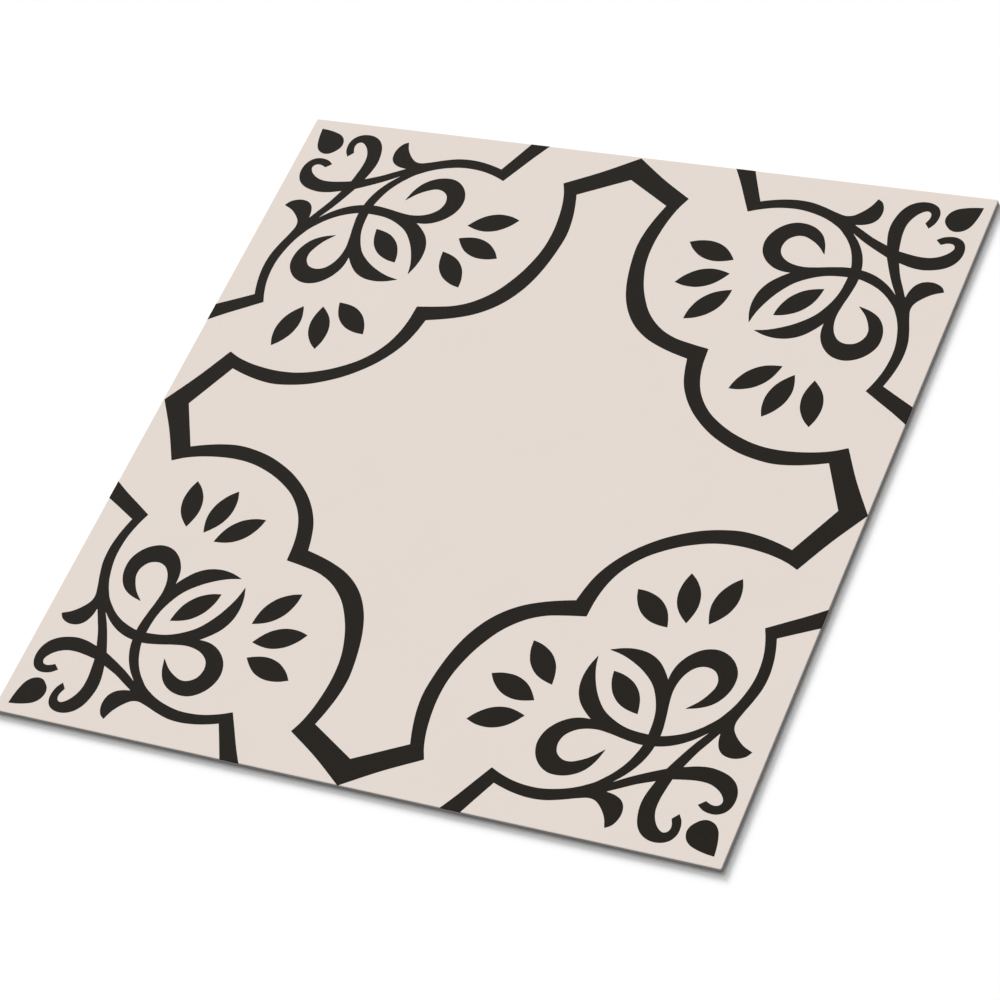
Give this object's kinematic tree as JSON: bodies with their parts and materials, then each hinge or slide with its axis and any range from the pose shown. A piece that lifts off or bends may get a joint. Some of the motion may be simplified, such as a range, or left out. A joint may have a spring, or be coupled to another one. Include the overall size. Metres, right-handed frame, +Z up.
{
  "type": "vinyl floor tile",
  "caption": "Thin square sheet of vinyl flooring, printed with a traditional scrolled medallion, cut to butt against its neighbours and glued down by its back.",
  "frame": {"origin": "middle of the tile's back, on the floor that it lies on", "axes": "+Z up, out of the printed face; +X and +Y along the cut edges"},
  "size_m": [0.3, 0.3, 0.002],
  "materials": {
    "vinyl": "satin",
    "print_ink": "satin"
  },
  "bodies": {
    "root": {"vinyl_tile": "vinyl"}
  },
  "joints": []
}
